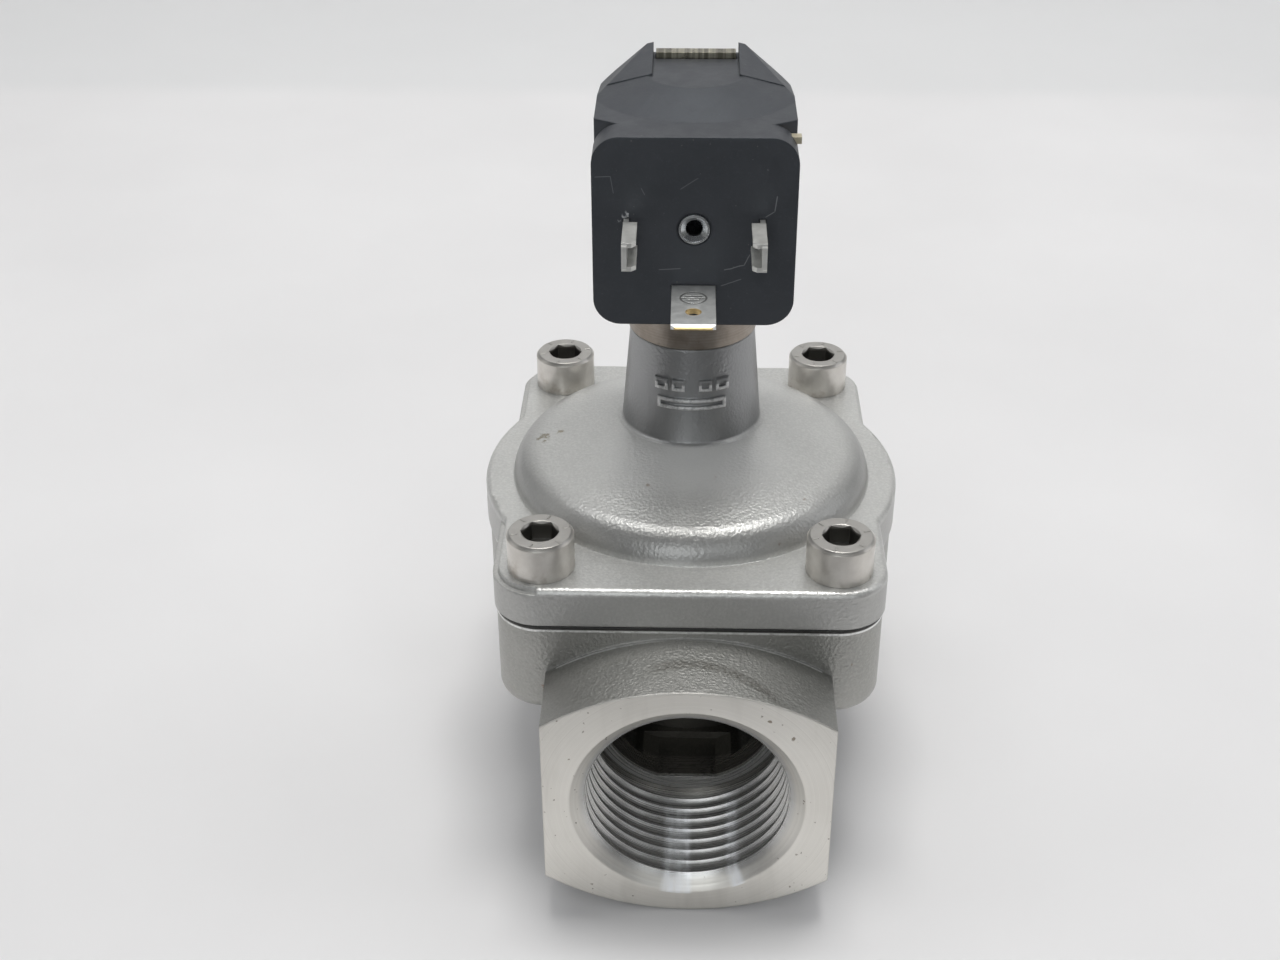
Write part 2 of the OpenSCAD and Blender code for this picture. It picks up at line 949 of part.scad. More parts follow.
valve_body();
valve_cover();
cover_screws();
diaphragm();
closing_spring();
support_plate();
seat_disc();
clamp_washer();
disc_bolt();
disc_nut();
pilot_nozzle();
tube_o_ring();
guide_tube();
tube_gland();
fixed_core();
shading_ring();
plunger();
plunger_seal();
plunger_spring();
coil_seal();
coil_housing();
coil_bobbin();
coil_winding();
magnet_yoke();
pole_plate();
retaining_clip();
terminal_left();
terminal_right();
earth_terminal();
connector_insert();
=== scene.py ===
import bpy
import bmesh
import math
from mathutils import Matrix, Vector


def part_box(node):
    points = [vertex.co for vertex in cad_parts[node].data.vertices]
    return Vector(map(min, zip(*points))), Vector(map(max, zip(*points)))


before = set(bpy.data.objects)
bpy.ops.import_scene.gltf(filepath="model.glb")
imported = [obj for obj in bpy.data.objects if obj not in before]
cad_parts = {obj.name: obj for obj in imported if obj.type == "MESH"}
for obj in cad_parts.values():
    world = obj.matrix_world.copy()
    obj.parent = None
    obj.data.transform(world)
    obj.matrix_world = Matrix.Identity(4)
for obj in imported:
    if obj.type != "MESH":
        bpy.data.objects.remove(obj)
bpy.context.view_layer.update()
scene = bpy.context.scene

# ---------- places on the valve, in millimetres ----------
MM = 0.001
PORT_Z = 21.4                   # height of the ports' axis
MOUTH_R = 17.8                  # just outside the chamfer at a port's mouth
THREAD_R = 17.275               # just outside the threads
PASSAGE_R = 14.75               # just inside the cast passages behind the threads
THREAD_END = 25.65              # from the middle of the valve, behind the last groove
BORE_END = 21.2                 # from the middle of the valve, behind the machined bores
SCREW_X = 22.0
SCREW_Y = 28.5
HEAD_H = 6.0                    # height of a screw head


def limit(node, end, axis):
    """The lowest (end 0) or highest (end 1) place of a CAD node along an axis."""
    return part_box(node)[end][axis] / MM


def middle(node, axis):
    """The middle of a CAD node along an axis."""
    return (limit(node, 0, axis) + limit(node, 1, axis)) / 2


PORT_Y = limit("valve_body", 1, 1)
JOINT_Z = limit("valve_body", 1, 2)
WALL_Y = limit("valve_cover", 1, 1) - 0.3
NECK_Z = limit("valve_cover", 1, 2)
NECK_Y = middle("guide_tube", 1)
SCREW_TOP = limit("cover_screws", 1, 2)
FLANGE_Z = SCREW_TOP - HEAD_H
COIL_FRONT = limit("coil_housing", 0, 1)
INSERT_Z = middle("connector_insert", 2)


# ---------- camera ----------
def make_camera():
    """The viewing angle: in front of the inlet, about 32 degrees above it."""
    pitch, yaw, roll = (math.radians(a) for a in (31.69, -1.73, 0.22))
    ahead = math.cos(pitch)
    forward = Vector((math.sin(yaw) * ahead, math.cos(yaw) * ahead, -math.sin(pitch)))
    level = Vector((math.cos(yaw), -math.sin(yaw), 0.0))
    below = forward.cross(level)
    if below.z > 0:
        below = -below
    right = math.cos(roll) * level + math.sin(roll) * below
    down = -math.sin(roll) * level + math.cos(roll) * below
    cam = bpy.data.objects.new("camera", bpy.data.cameras.new("camera"))
    scene.collection.objects.link(cam)
    pose = Matrix((right, -down, -forward)).transposed().to_4x4()
    pose.translation = Vector((-0.0010, -0.23815, 0.1955))
    cam.matrix_world = pose
    cam.data.lens = 48.3834375
    cam.data.sensor_width = 36
    cam.data.clip_start = 0.01
    cam.data.clip_end = 20
    scene.camera = cam


# ---------- shader helpers ----------
def shade(color, k):
    """A colour made k times as bright, and no brighter than 1."""
    return tuple(min(1.0, k * q) for q in color)


class Mat:
    """Builds one node material. Places and sizes are in millimetres, noise scales are per metre."""

    def __init__(self, name):
        self.material = bpy.data.materials.new(name)
        self.material.use_nodes = True
        self.tree = self.material.node_tree
        self.shader = self.tree.nodes["Principled BSDF"]
        self.coord = self.new("ShaderNodeTexCoord").outputs["Object"]

    def new(self, kind, **props):
        n = self.tree.nodes.new(kind)
        for k, v in props.items():
            setattr(n, k, v)
        return n

    def set(self, socket, value):
        """Links a socket, or gives it a constant."""
        if isinstance(value, bpy.types.NodeSocket):
            self.tree.links.new(value, socket)
        else:
            socket.default_value = value

    def set_color(self, socket, value):
        self.set(socket, (*value, 1) if isinstance(value, tuple) else value)

    # coordinates
    def place(self):
        """x, y and z on the piece, in millimetres."""
        scale = self.new("ShaderNodeVectorMath", operation="SCALE")
        self.set(scale.inputs[0], self.coord)
        scale.inputs["Scale"].default_value = 1 / MM
        split = self.new("ShaderNodeSeparateXYZ")
        self.set(split.inputs[0], scale.outputs[0])
        return split.outputs

    def scaled(self, sx, sy, sz, shift=(0, 0, 0)):
        """The coordinates stretched along the axes, for streaks, or shifted, for another pattern."""
        n = self.new("ShaderNodeMapping")
        self.set(n.inputs["Vector"], self.coord)
        n.inputs["Scale"].default_value = (sx, sy, sz)
        n.inputs["Location"].default_value = shift
        return n.outputs[0]

    def plane(self, u, v):
        """Coordinates made of two values, for fine lines."""
        n = self.new("ShaderNodeCombineXYZ")
        self.set(n.inputs[0], u)
        self.set(n.inputs[1], v)
        return n.outputs[0]

    def radial(self, cx, cy, axis="Z"):
        """Distance from an axis through (cx, cy): Z uses x and y, Y uses x and z."""
        x, y, z = self.place()
        return self.length(self.sub(x, cx), self.sub(y if axis == "Z" else z, cy))

    # arithmetic
    def math(self, op, *values):
        n = self.new("ShaderNodeMath", operation=op)
        for socket, v in zip(n.inputs, values):
            self.set(socket, v)
        return n.outputs[0]

    def add(self, a, b):
        return self.math("ADD", a, b)

    def sub(self, a, b):
        return self.math("SUBTRACT", a, b)

    def mul(self, a, b):
        return self.math("MULTIPLY", a, b)

    def either(self, a, b):
        return self.math("MAXIMUM", a, b)

    def size(self, a):
        return self.math("ABSOLUTE", a)

    def length(self, *parts):
        total = self.mul(parts[0], parts[0])
        for p in parts[1:]:
            total = self.add(total, self.mul(p, p))
        return self.math("SQRT", total)

    def rng(self, v, a0, a1, b0=0.0, b1=1.0, smooth=False):
        """Maps a0..a1 to b0..b1 and stays there outside."""
        n = self.new("ShaderNodeMapRange", interpolation_type="SMOOTHSTEP" if smooth else "LINEAR")
        self.set(n.inputs["Value"], v)
        for i, x in zip((1, 2, 3, 4), (a0, a1, b0, b1)):
            n.inputs[i].default_value = x
        return n.outputs[0]

    # masks
    def above(self, v, edge, soft):
        """1 where a value is over an edge, changing over soft on both sides of it."""
        return self.rng(v, edge - soft, edge + soft)

    def below(self, v, edge, soft):
        return self.rng(v, edge + soft, edge - soft)

    def near(self, v, centre, half, soft):
        """1 where a value lies within half of centre, with a soft edge outside."""
        return self.rng(self.size(self.sub(v, centre)), half + soft, half, 0.0, 1.0, True)

    def all(self, *masks):
        out = masks[0]
        for k in masks[1:]:
            out = self.mul(out, k)
        return out

    def spot(self, centre, radius):
        """A small stain with a ragged edge round a point."""
        away = self.length(*(self.sub(q, c) for q, c in zip(self.place(), centre)))
        ragged = self.rng(self.noise(900, 3, 0.7), 0.3, 0.7, -0.9, 0.9)
        return self.rng(self.add(away, self.mul(ragged, radius)), radius, 0.35 * radius, 0.0, 1.0, True)

    def line(self, u, v, p, q, half, wobble=0.0):
        """A thin line from p to q in the plane of two coordinates."""
        if wobble:
            n = self.rng(self.noise(300, 2, 0.6), 0.3, 0.7, -wobble, wobble)
            u, v = self.add(u, n), self.add(v, n)
        dx, dy = q[0] - p[0], q[1] - p[1]
        span = math.hypot(dx, dy)
        dx, dy = dx / span, dy / span
        a, b = self.sub(u, p[0]), self.sub(v, p[1])
        along = self.add(self.mul(a, dx), self.mul(b, dy))
        across = self.size(self.sub(self.mul(a, dy), self.mul(b, dx)))
        return self.all(self.above(along, 0.0, half), self.below(along, span, half),
                        self.rng(across, half, 0.3 * half, 0.0, 1.0, True))

    # patterns and colours
    def noise(self, scale, detail=2.0, rough=0.5, vector=None):
        n = self.new("ShaderNodeTexNoise")
        self.set(n.inputs["Vector"], vector or self.coord)
        n.inputs["Scale"].default_value = scale
        n.inputs["Detail"].default_value = detail
        n.inputs["Roughness"].default_value = rough
        return n.outputs["Fac"]

    def cells(self, scale, vector):
        n = self.new("ShaderNodeTexVoronoi")
        self.set(n.inputs["Vector"], vector)
        n.inputs["Scale"].default_value = scale
        return n.outputs["Distance"]

    def mottle(self, pattern, b0, b1):
        """The middle of a noise pattern, stretched from b0 to b1: two numbers or two colours."""
        if isinstance(b0, tuple):
            return self.mix(self.rng(pattern, 0.3, 0.7), b0, b1)
        return self.rng(pattern, 0.3, 0.7, b0, b1)

    def mix(self, mask, a, b):
        n = self.new("ShaderNodeMix", data_type="RGBA")
        self.set(n.inputs[0], mask)
        self.set_color(n.inputs[6], a)
        self.set_color(n.inputs[7], b)
        return n.outputs[2]

    def mixf(self, mask, a, b):
        n = self.new("ShaderNodeMix", data_type="FLOAT")
        for socket, v in zip(n.inputs, (mask, None, a, b)):
            if v is not None:
                self.set(socket, v)
        return n.outputs[0]

    def tint(self, color, mask, amount, new_color):
        """A colour with a part of another one where the mask is 1."""
        return self.mix(self.mul(mask, amount), color, new_color)

    # surface
    def edge(self, radius):
        """A normal that rounds every edge, so that edges catch the light."""
        n = self.new("ShaderNodeBevel", samples=4)
        n.inputs["Radius"].default_value = radius * MM
        return n.outputs[0]

    def bump(self, height, strength, depth, normal=None):
        n = self.new("ShaderNodeBump")
        n.inputs["Strength"].default_value = strength
        n.inputs["Distance"].default_value = depth * MM
        self.set(n.inputs["Height"], height)
        if normal is not None:
            self.set(n.inputs["Normal"], normal)
        return n.outputs[0]

    def out(self, color, rough, normal, metallic=0.0, **constants):
        """Finishes the material."""
        self.set_color(self.shader.inputs["Base Color"], color)
        self.set(self.shader.inputs["Roughness"], rough)
        self.set(self.shader.inputs["Metallic"], metallic)
        self.set(self.shader.inputs["Normal"], normal)
        for k, v in constants.items():
            self.shader.inputs[k.replace("_", " ")].default_value = v
        return self.material


# ---------- castings ----------
def cast_skin(m, dark, light, shift):
    """Colour, roughness and height of a blasted investment casting."""
    at = m.scaled(1, 1, 1, shift)
    grain = m.noise(2300, 2, 0.6, at)
    c = m.mottle(m.noise(42, 3, 0.55, at), dark, light)
    c = m.mix(m.rng(grain, 0.42, 0.70, 0.0, 0.30), c, shade(light, 1.4))
    dirt = m.all(m.rng(m.noise(330, 2, 0.7, at), 0.71, 0.80),
                 m.rng(m.noise(50, 2, 0.5, at), 0.54, 0.62))
    c = m.tint(c, dirt, 0.8, (0.11, 0.095, 0.07))
    rust = m.all(m.rng(m.noise(420, 2, 0.7, at), 0.70, 0.77),
                 m.rng(m.noise(60, 2, 0.5, at), 0.61, 0.68))
    c = m.mix(rust, c, (0.22, 0.13, 0.06))
    pits = m.add(m.mul(m.noise(5200, 1, 0.5), 0.2), m.mul(m.cells(1900, at), 0.5))
    return c, m.mottle(grain, 0.34, 0.44), m.add(m.mul(grain, 0.65), pits)


def body_marks(m, c, r_port):
    """What is on the skin of the body casting: a rub mark, rust, painted highlights on the lines at its
    edges, and painted shade under the cover and in the passages behind the threads.
    """
    x, y, z = m.place()
    ay = m.size(y)
    # grey rub mark across the top of the inlet boss, and rust at its left edge
    arc = m.add(y, m.mul(m.mul(x, x), 0.034))
    rub = m.all(m.near(arc, -40.8, 0.4, 1.3), m.above(x, -5.25, 1.75), m.below(x, 13.0, 2.0),
                m.above(z, 37.0, 1.0), m.rng(m.noise(1500, 3, 0.75), 0.30, 0.58))
    c = m.tint(c, rub, 0.62, (0.135, 0.125, 0.105))
    c = m.tint(c, m.spot((-21.2, -35.0, 32.6), 1.0), 0.8, (0.25, 0.12, 0.05))
    # painted shade in the gap under the cover, and painted highlights on the edge below it and round the
    # root of the bosses
    gap = m.above(z, JOINT_Z - 0.87, 0.05)
    rim = m.near(z, JOINT_Z - 1.12, 0.12, 0.12)
    root = m.all(m.near(ay, WALL_Y + 0.34, 0.12, 0.14), m.near(x, 0.0, 19.6, 0.4),
                 m.above(z, 30.0, 1.0), m.below(z, JOINT_Z - 2.5, 0.5))
    painted_edge_highlight = m.all(m.either(rim, root), m.rng(m.noise(900, 2, 0.6), 0.30, 0.50, 0.45, 1.0))
    # painted highlight: the rim and root lines are painted nearly white
    c = m.tint(c, painted_edge_highlight, 0.85, (0.98, 0.98, 0.97))
    # painted shade: the body just under the cover flange is painted nearly black
    c = m.tint(c, gap, 0.9, (0.03, 0.03, 0.03))
    # painted shade: the passages behind the threads are painted dark
    inner = m.all(m.below(r_port, PASSAGE_R, 0.25), m.below(ay, THREAD_END + 0.35, 0.2),
                  m.above(ay, 1.5, 0.5))
    return m.mix(inner, c, (0.15, 0.145, 0.13))


def mat_cast():
    """The body casting, with machined port faces and threads."""
    m = Mat("cast_stainless")
    x, y, z = m.place()
    ay = m.size(y)
    r_port = m.radial(0.0, PORT_Z, "Y")
    face = m.above(ay, PORT_Y - 0.115, 0.035)
    bore = m.all(m.below(r_port, MOUTH_R, 0.05), m.above(ay, BORE_END, 0.2))
    deep = m.below(ay, THREAD_END, 0.25)
    thread = m.all(m.below(r_port, THREAD_R, 0.075), m.below(ay, PORT_Y - 1.2, 0.3))
    cast, rough_cast, h_cast = cast_skin(m, (0.345, 0.345, 0.325), (0.44, 0.435, 0.415), (0, 0, 0))
    cast = body_marks(m, cast, r_port)
    # turned metal, with tool marks round the port axis and a few pits on the inlet face
    lines = m.noise(1.0, 2, 0.6, m.plane(m.mul(r_port, 5.2), m.mul(y, 5.2)))
    turned = m.mottle(m.noise(55, 3, 0.6), (0.80, 0.78, 0.73), (0.89, 0.87, 0.82))
    turned = m.mix(m.rng(lines, 0.35, 0.75, 0.0, 0.22), turned, (0.46, 0.43, 0.39))
    sweep = m.noise(1.0, 3, 0.6, m.scaled(260, 10, 40))
    turned = m.mix(m.rng(sweep, 0.5, 0.75, 0.0, 0.25), turned, (0.52, 0.50, 0.455))
    turned = m.tint(turned, m.rng(m.noise(1300, 1, 0.5), 0.74, 0.80), 0.7, (0.16, 0.12, 0.08))
    for px, pz in ((11.6, 37.6), (-14.3, 5.2), (15.1, 34.5), (-17.2, 30.0), (16.5, 12.0)):
        turned = m.tint(turned, m.spot((px, -PORT_Y, pz), 0.28), 0.75, (0.17, 0.12, 0.07))
    # painted shade: the turned surfaces deep inside the ports, behind the last groove, are painted dark
    turned = m.mix(deep, turned, (0.16, 0.15, 0.135))
    bright = m.mottle(lines, (0.56, 0.555, 0.54), (0.70, 0.695, 0.68))
    bright = m.mix(m.rng(m.noise(420, 3, 0.7), 0.55, 0.7, 0.0, 0.35), bright, (0.40, 0.375, 0.33))
    turned = m.mix(m.mul(thread, m.sub(1.0, deep)), turned, bright)
    # painted highlight: pale streaks along the bottom of the inlet thread are painted reflections of the
    # lamps; the angle is from straight down
    angle = m.math("ARCTAN2", x, m.sub(PORT_Z, z))
    streaks = m.either(m.near(angle, -0.09, 0.10, 0.06), m.near(angle, 0.47, 0.03, 0.06))
    streak_breakup = m.rng(m.noise(1.0, 2, 0.6, m.scaled(900, 120, 300)), 0.3, 0.6, 0.55, 1.0)
    streak = m.all(streaks, m.below(y, -31.0, 2.0), bore, m.above(r_port, PASSAGE_R + 0.05, 0.2), streak_breakup)
    turned = m.mix(streak, turned, (0.97, 0.98, 0.99))
    machined = m.either(face, bore)
    color = m.mix(machined, cast, turned)
    rough_turned = m.mixf(thread, m.mottle(lines, 0.36, 0.48), m.mottle(lines, 0.24, 0.32))
    rough = m.mixf(machined, rough_cast, rough_turned)
    height = m.mixf(machined, h_cast, m.mul(lines, m.mixf(thread, 0.16, 0.03)))
    # the crests and flanks of the thread stay sharp, the cast edges are rounded
    normal = m.mix(thread, m.edge(0.45), m.edge(0.06))
    # the thread is made somewhat less metallic, and the painted highlight streaks much less, so their pale
    # colour shows
    less_metallic = m.either(m.mul(thread, 0.5), streak)
    metallic = m.mixf(machined, 0.88, m.mixf(less_metallic, 0.97, 0.42))
    return m.out(color, rough, m.bump(height, 0.7, 0.14, normal), metallic)


def mat_cover():
    """The cover casting, with a few small stains, painted shade on the neck, the foot of the dome and the
    flange edge, and painted light on the crown and the raised mark.
    """
    m = Mat("cast_cover")
    x, y, z = m.place()
    dome_r, foot_r, top_r = 23.75, 11.3, 9.75
    r_neck = m.radial(0.0, NECK_Y)
    c, rough, h = cast_skin(m, (0.54, 0.54, 0.525), (0.62, 0.62, 0.60), (0.4, 0.2, 0.1))
    for centre, radius, color in (
            ((-23.5, 0.5, 55.5), 1.3, (0.20, 0.17, 0.10)),
            ((-20.8, 1.2, 56.5), 0.8, (0.26, 0.22, 0.14)),
            ((11.9, 15.7, 59.0), 0.5, (0.10, 0.09, 0.07)),
            ((8.8, -12.5, 58.5), 0.4, (0.10, 0.09, 0.075)),
            ((20.0, 0.0, 56.0), 0.3, (0.11, 0.10, 0.08))):
        c = m.tint(c, m.spot(centre, radius), 0.75, color)
    # painted shade: the steep foot of the dome and the edge of the flange are painted darker
    foot = m.all(m.above(m.radial(0.0, 0.0), dome_r, 1.25), m.above(z, FLANGE_Z + 0.5, 0.4),
                 m.below(z, FLANGE_Z + 4.25, 0.85))
    c = m.tint(c, foot, 0.55, (0.26, 0.26, 0.255))
    c = m.tint(c, m.below(z, FLANGE_Z - 1.0, 0.3), 0.45, (0.28, 0.275, 0.265))
    # painted light: the crown in front of the neck is painted paler, and it is duller
    crown = m.all(m.below(m.radial(0.0, -9.5), 10.25, 6.25), m.above(z, FLANGE_Z + 5.65, 0.75))
    c = m.tint(c, crown, 0.7, (0.90, 0.90, 0.88))
    # painted shade: the neck is painted dark
    neck = m.all(m.below(r_neck, foot_r + 0.5, 0.4), m.above(z, FLANGE_Z + 7.65, 0.45))
    c = m.tint(c, neck, 0.75, (0.235, 0.24, 0.25))
    # painted highlight: the raised mark is painted bright where it stands out from the cone of the neck
    cone = m.rng(z, FLANGE_Z + 4.9, NECK_Z, foot_r, top_r)
    mark = m.all(m.above(m.sub(r_neck, cone), 0.19, 0.07), m.near(x, 0.0, 6.5, 0.5),
                 m.near(z, NECK_Z - 9.8, 4.0, 0.3), m.below(y, -0.5, 0.5))
    highlight_breakup = m.rng(m.noise(1300, 2, 0.6), 0.3, 0.55, 0.35, 0.9)
    c = m.mix(m.mul(mark, highlight_breakup), c, (0.93, 0.93, 0.92))
    rough = m.mixf(neck, m.sub(rough, 0.05), rough)
    metallic = m.mixf(neck, m.mixf(crown, 0.58, 0.30), 0.97)
    return m.out(c, rough, m.bump(h, 0.6, 0.12, m.edge(0.45)), metallic)


# ---------- other metals ----------
def mat_steel(name, dark, light, rough=(0.25, 0.38), axis_y=0.0, z_lines=3.0, bump=0.15):
    """Turned or drawn steel with fine lines round an upright axis."""
    m = Mat(name)
    z = m.place()[2]
    lines = m.noise(1.0, 3, 0.6, m.plane(m.mul(m.radial(0.0, axis_y), 7.0), m.mul(z, z_lines)))
    c = m.mix(m.rng(m.noise(220, 4, 0.6), 0.32, 0.68), dark, light)
    c = m.mix(m.rng(lines, 0.4, 0.8, 0.0, 0.35), c, shade(dark, 0.6))
    c = m.tint(c, m.rng(m.noise(1500, 1), 0.72, 0.80), 0.3, (0.1, 0.08, 0.06))
    h = m.add(m.mul(lines, 0.6), m.mul(m.noise(1800, 2), 0.4))
    return m.out(c, m.mottle(m.noise(500, 3), *rough), m.bump(h, bump, 0.12), 1.0)


def mat_screw():
    """Socket head screws, with painted shade inside the hexagon sockets."""
    m = Mat("screw")
    x, y, z = m.place()
    socket_r = 2.89
    r = m.length(m.sub(m.size(x), SCREW_X), m.sub(m.size(y), SCREW_Y))
    blot = m.noise(420, 4, 0.6)
    c = m.mix(m.rng(blot, 0.32, 0.68), (0.66, 0.63, 0.585), (0.76, 0.735, 0.69))
    stain = m.all(m.rng(m.noise(260, 3, 0.7), 0.56, 0.70), m.below(z, FLANGE_Z + 2.4, 1.5))
    c = m.tint(c, stain, 0.5, (0.36, 0.31, 0.25))
    c = m.tint(c, m.above(z, SCREW_TOP - 0.35, 0.15), 0.6, (0.34, 0.335, 0.32))
    # painted shade: the bottom of each hexagon socket is painted nearly black
    socket = m.all(m.below(r, socket_r, 0.03), m.below(z, SCREW_TOP - 0.5, 0.3))
    c = m.tint(c, socket, 0.8, (0.10, 0.10, 0.095))
    h = m.add(m.mul(blot, 0.5), m.mul(m.noise(2400, 2), 0.5))
    rough = m.mottle(m.noise(500, 3), 0.28, 0.40)
    return m.out(c, rough, m.bump(h, 0.2, 0.1, m.edge(0.2)), m.mixf(socket, 0.85, 0.95))


def mat_plain_metal(name, dark, light, rough=(0.2, 0.35), metallic=1.0, ribs=0.0):
    """Drawn, stamped or plated metal with a faint mottle, and ribs across x when asked for."""
    m = Mat(name)
    blot = m.noise(500, 4, 0.6)
    drawn = m.noise(1.0, 2, 0.6, m.scaled(250, 2600, 250))
    c = m.mottle(blot, dark, light)
    if ribs:
        rib = m.noise(1.0, 2, 0.5, m.scaled(ribs, 20, 20))
        c = m.mix(m.rng(rib, 0.42, 0.58, 0.0, 0.75), c, shade(dark, 0.30))
    h = m.add(m.mul(blot, 0.5), m.mul(drawn, 0.5))
    return m.out(c, m.mottle(blot, *rough), m.bump(h, 0.12, 0.1, m.edge(0.15)), metallic)


def mat_insert():
    """Zinc plated brass insert, with painted shade inside its hole."""
    m = Mat("insert")
    y = m.place()[1]
    front, hole_r = limit("connector_insert", 0, 1), 1.27
    n = m.noise(600, 3, 0.6)
    c = m.mottle(n, (0.62, 0.64, 0.65), (0.78, 0.80, 0.81))
    # painted shade: the hole is painted nearly black beyond its mouth
    hole = m.all(m.below(m.radial(0.0, INSERT_Z, "Y"), hole_r, 0.05), m.above(y, front + 0.95, 0.5))
    c = m.mix(hole, c, (0.03, 0.03, 0.03))
    return m.out(c, m.mottle(n, 0.22, 0.32), m.bump(n, 0.1, 0.1, m.edge(0.12)), 0.95)


def mat_earth_blade():
    """Tinned blade with a stamped sign of bars in a ring, and bare brass at its tip and in its hole."""
    m = Mat("earth_blade")
    x, y, z = m.place()
    tip, top = limit("earth_terminal", 0, 1), limit("earth_terminal", 1, 2)
    sign_y, hole_y = tip + 9.2, tip + 4.7
    ring_r, hole_r = 1.85, 1.15
    n = m.noise(500, 4, 0.6)
    c = m.mottle(n, (0.62, 0.63, 0.62), (0.78, 0.79, 0.78))
    r = m.radial(0.0, sign_y)
    inside = m.below(r, ring_r - 0.125, 0.025)
    sign = m.near(r, ring_r, 0.09, 0.09)
    for at, extent in (
            (-0.1, inside),
            (-0.6, m.near(x, 0.0, 0.9, 0.1)),
            (0.6, m.near(x, 0.0, 1.2, 0.1))):
        sign = m.either(sign, m.all(m.near(y, sign_y + at, 0.10, 0.1), extent))
    sign = m.all(sign, m.above(z, top - 0.3, 0.05))
    c = m.tint(c, sign, 0.75, (0.13, 0.13, 0.125))
    brass = m.either(m.below(y, tip + 0.275, 0.075), m.below(m.radial(0.0, hole_y), hole_r, 0.07))
    c = m.tint(c, brass, 0.85, (0.66, 0.47, 0.16))
    h = m.sub(m.mul(n, 0.3), sign)
    return m.out(c, m.mottle(n, 0.34, 0.48), m.bump(h, 0.5, 0.12, m.edge(0.15)), 0.7)


def mat_winding():
    """Enamelled copper wire, turn on turn."""
    m = Mat("winding")
    pitch = 0.3
    wave = m.math("SINE", m.mul(m.place()[2], 2 * math.pi / pitch))
    c = m.mottle(m.noise(300, 3), (0.62, 0.25, 0.10), (0.80, 0.40, 0.18))
    # painted shade: the grooves between the turns are painted dark
    c = m.mix(m.rng(wave, -1.0, 0.2, 0.6, 0.0), c, (0.20, 0.07, 0.03))
    return m.out(c, 0.3, m.bump(wave, 0.6, 0.1), 1.0)


# ---------- plastic and rubber ----------
def face_marks(m, c):
    """Scratches, mould lines and dust on the plug face of the coil."""
    x, y, z = m.place()
    front = m.below(y, COIL_FRONT + 0.1, 0.05)
    # start, end, half width, strength, wobble
    for p, q, half, amount, wobble in (
            ((-5.0, 91.6), (-1.9, 91.8), 0.09, 0.7, 0.0),
            ((4.4, 91.7), (7.2, 92.4), 0.10, 0.9, 0.2),
            ((7.2, 92.4), (7.9, 94.0), 0.10, 0.8, 0.2),
            ((10.0, 99.8), (11.2, 100.6), 0.09, 0.9, 0.0),
            ((11.2, 100.6), (11.6, 103.0), 0.10, 0.9, 0.1),
            ((-14.0, 105.6), (-11.8, 105.7), 0.08, 0.6, 0.0),
            ((-11.8, 105.7), (-11.4, 103.2), 0.08, 0.5, 0.0),
            ((-2.2, 103.7), (0.3, 105.4), 0.10, 0.45, 0.2),
            ((4.0, 89.2), (6.8, 90.2), 0.09, 0.7, 0.1),
            ((-7.5, 104.0), (-7.0, 103.0), 0.08, 0.5, 0.0)):
        c = m.tint(c, m.all(m.line(x, z, p, q, half, wobble), front), amount, (0.16, 0.165, 0.17))
    c = m.tint(c, m.spot((-10.0, COIL_FRONT, 99.5), 0.7), 0.9, (0.45, 0.46, 0.47))
    dust = m.rng(m.noise(1700, 1, 0.5, m.scaled(1, 1, 1, (2, 5, 7))), 0.765, 0.80, 0.0, 0.45)
    return m.mix(dust, c, (0.14, 0.14, 0.13))


def mat_plastic(name, dark, light, rough, edge, specular=0.5, marks=None):
    """Moulded plastic with a fine eroded grain."""
    m = Mat(name)
    grain = m.noise(2200, 3, 0.65)
    c = m.mottle(m.noise(70, 3, 0.5), dark, light)
    c = m.mix(m.rng(grain, 0.55, 0.8, 0.0, 0.35), c, shade(light, 1.8))
    if marks:
        c = marks(m, c)
    return m.out(c, m.mottle(m.noise(400, 3), *rough), m.bump(grain, 0.25, 0.08, m.edge(edge)),
                 Specular_IOR_Level=specular, Specular_Tint=(0.85, 0.93, 1.0, 1))


def mat_rubber():
    """Black rubber, for the diaphragm and the seals."""
    m = Mat("rubber")
    grain = m.noise(1500, 3, 0.6)
    c = m.mottle(m.noise(160, 3), (0.014, 0.014, 0.015), (0.0224, 0.0224, 0.024))
    return m.out(c, m.mottle(grain, 0.55, 0.75), m.bump(grain, 0.3, 0.1))


# ---------- stage and light, in metres ----------
def sheet(name, rows, material):
    """A smooth sheet through rows of points."""
    mesh = bpy.data.meshes.new(name)
    bm = bmesh.new()
    verts = [[bm.verts.new(p) for p in row] for row in rows]
    for p, q in zip(verts, verts[1:]):
        for k in range(len(p) - 1):
            bm.faces.new((p[k], p[k + 1], q[k + 1], q[k]))
    bm.normal_update()
    bm.to_mesh(mesh)
    bm.free()
    for face in mesh.polygons:
        face.use_smooth = True
    mesh.materials.append(material)
    ob = bpy.data.objects.new(name, mesh)
    scene.collection.objects.link(ob)
    return ob


def paper():
    """Matt paper with faint broad waves, and painted shade that makes it greyer far behind the valve."""
    m = Mat("paper")
    broad = m.noise(11, 3, 0.5)
    c = m.mottle(broad, (0.755, 0.75, 0.755), (0.80, 0.795, 0.80))
    # painted shade: the paper is painted greyer far behind the valve
    far = m.rng(m.place()[1], 320, 340, 0.0, 1.0, True)
    c = m.tint(c, far, 0.55, (0.70, 0.71, 0.715))
    return m.out(c, 0.8, m.bump(m.add(broad, m.mul(m.noise(380, 3, 0.6), 0.02)), 0.2, 3.0))


